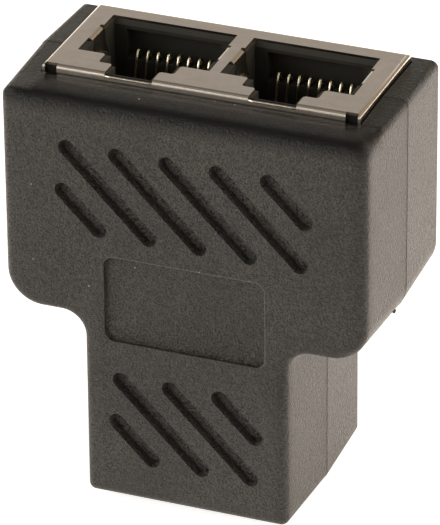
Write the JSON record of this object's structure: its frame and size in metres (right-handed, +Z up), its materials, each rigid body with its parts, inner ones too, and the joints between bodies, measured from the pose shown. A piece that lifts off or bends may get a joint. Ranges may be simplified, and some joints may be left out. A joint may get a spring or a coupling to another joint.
{
  "type": "ethernet splitter adapter",
  "caption": "T-shaped network splitter adapter: dark moulded body with slanted grip grooves and a bare label panel, shielded side-by-side sockets on top and a socket in the stem.",
  "frame": {"origin": "middle of the bounding box in plan, at the outer face of the lower socket's plate", "axes": "+X to the right across the head seen from the grooved front, +Y to the back, +Z up to the side-by-side sockets"},
  "size_m": [0.036, 0.0195, 0.0426],
  "materials": {
    "shell": "fine-grained dark charcoal",
    "shield": "satin plated sheet",
    "housing": "smooth black",
    "contact": "gilt spring wire",
    "board": "coated laminate"
  },
  "bodies": {
    "root": {"front_shell": "shell", "rear_shell": "shell", "dual_jack_shield": "shield", "lower_jack_shield": "shield", "dual_jack_housing": "housing", "lower_jack_housing": "housing", "circuit_board": "board", "left_contact_carrier": "housing", "right_contact_carrier": "housing", "lower_contact_carrier": "housing", "left_contact_1": "contact", "left_contact_2": "contact", "left_contact_3": "contact", "left_contact_4": "contact", "left_contact_5": "contact", "left_contact_6": "contact", "left_contact_7": "contact", "left_contact_8": "contact", "right_contact_1": "contact", "right_contact_2": "contact", "right_contact_3": "contact", "right_contact_4": "contact", "right_contact_5": "contact", "right_contact_6": "contact", "right_contact_7": "contact", "right_contact_8": "contact", "lower_contact_1": "contact", "lower_contact_2": "contact", "lower_contact_3": "contact", "lower_contact_4": "contact", "lower_contact_5": "contact", "lower_contact_6": "contact", "lower_contact_7": "contact", "lower_contact_8": "contact"}
  },
  "joints": []
}
